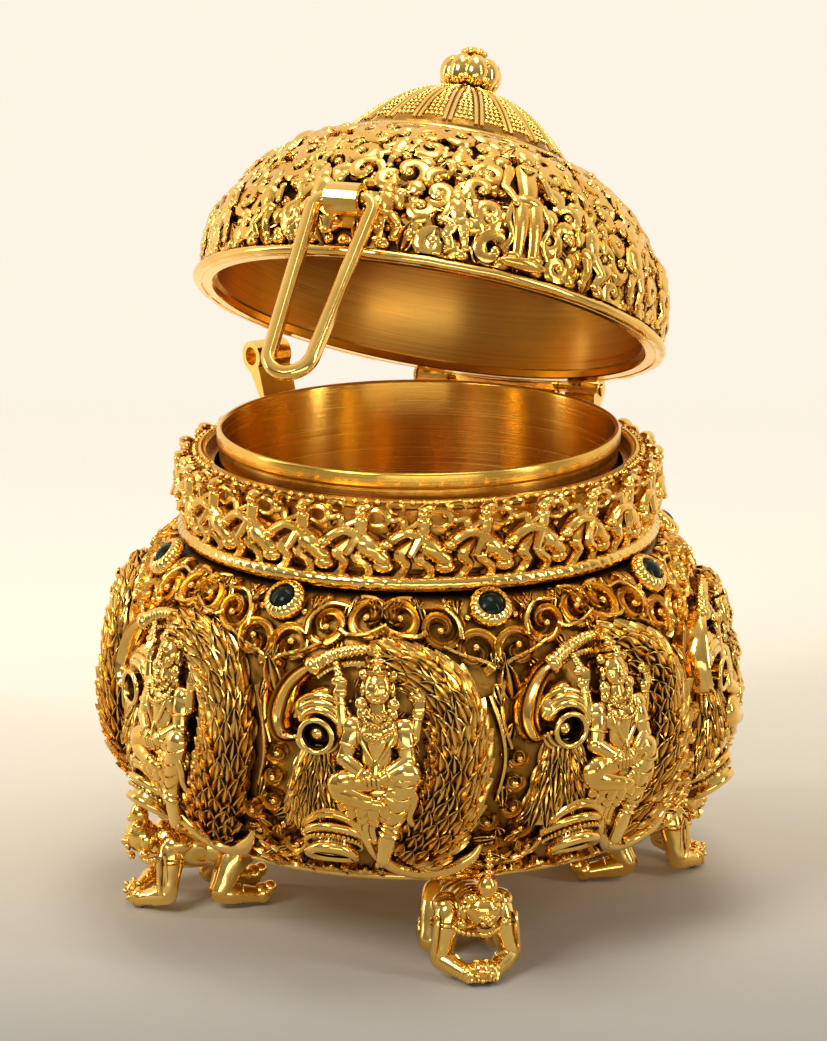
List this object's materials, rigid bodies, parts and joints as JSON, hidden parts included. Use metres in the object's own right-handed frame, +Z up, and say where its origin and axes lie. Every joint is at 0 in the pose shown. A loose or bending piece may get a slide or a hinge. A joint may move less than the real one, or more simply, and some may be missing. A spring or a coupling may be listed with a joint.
{
  "type": "kumkum box",
  "caption": "Small footed round kumkum box in richly worked gold metal, with plain liner, hinged domed lid and swinging link.",
  "frame": {"origin": "middle of the vessel on the surface that the feet stand on", "axes": "+Z up along the vessel's axis, -Y towards the front, +X to the right"},
  "size_m": [0.0828, 0.0828, 0.109],
  "materials": {
    "polished_gold": "high polish yellow gold",
    "relief_gold": "polished relief with dark patina in its recesses",
    "brushed_gold": "turned and brushed orange gold",
    "black_stone": "glossy opaque black cabochon"
  },
  "bodies": {
    "box": {"base_plate": "polished_gold", "bezel_1": "polished_gold", "bezel_2": "polished_gold", "bezel_3": "polished_gold", "bezel_4": "polished_gold", "bezel_5": "polished_gold", "bezel_6": "polished_gold", "bezel_7": "polished_gold", "bezel_8": "polished_gold", "cabochon_1": "black_stone", "cabochon_2": "black_stone", "cabochon_3": "black_stone", "cabochon_4": "black_stone", "cabochon_5": "black_stone", "cabochon_6": "black_stone", "cabochon_7": "black_stone", "cabochon_8": "black_stone", "collar_band": "relief_gold", "foot_1": "polished_gold", "foot_2": "polished_gold", "foot_3": "polished_gold", "foot_4": "polished_gold", "hinge_bracket": "polished_gold", "hinge_pin": "polished_gold", "inner_tube": "brushed_gold", "plume_arch_1": "relief_gold", "plume_arch_2": "relief_gold", "plume_arch_3": "relief_gold", "plume_arch_4": "relief_gold", "plume_arch_5": "relief_gold", "plume_arch_6": "relief_gold", "plume_arch_7": "relief_gold", "plume_arch_8": "relief_gold", "rope_ring": "relief_gold", "seated_figure_1": "relief_gold", "seated_figure_2": "relief_gold", "seated_figure_3": "relief_gold", "seated_figure_4": "relief_gold", "seated_figure_5": "relief_gold", "seated_figure_6": "relief_gold", "seated_figure_7": "relief_gold", "seated_figure_8": "relief_gold", "shoulder_scrolls": "relief_gold", "side_lug": "polished_gold", "vessel_shell": "relief_gold"},
    "lid": {"lid_shell": "relief_gold", "lid_rim": "polished_gold", "cap_ring": "polished_gold", "lid_cap": "relief_gold", "finial_bud": "polished_gold", "finial_knob": "polished_gold", "lid_lug": "polished_gold", "lid_knuckle": "polished_gold"},
    "link": {"hasp_link": "polished_gold"}
  },
  "joints": [
    {"name": "lid_hinge", "type": "hinge", "parent": "box", "child": "lid", "pos_m": [0.01255, 0.03106, 0.061], "axis": [-0.9272, 0.3746, 0], "range_deg": [-26.5, 78.5]},
    {"name": "link_swing", "type": "hinge", "parent": "lid", "child": "link", "pos_m": [-0.00894, -0.02213, 0.09609], "axis": [-0.9272, 0.3746, 0], "range_deg": [-4, 125]}
  ]
}
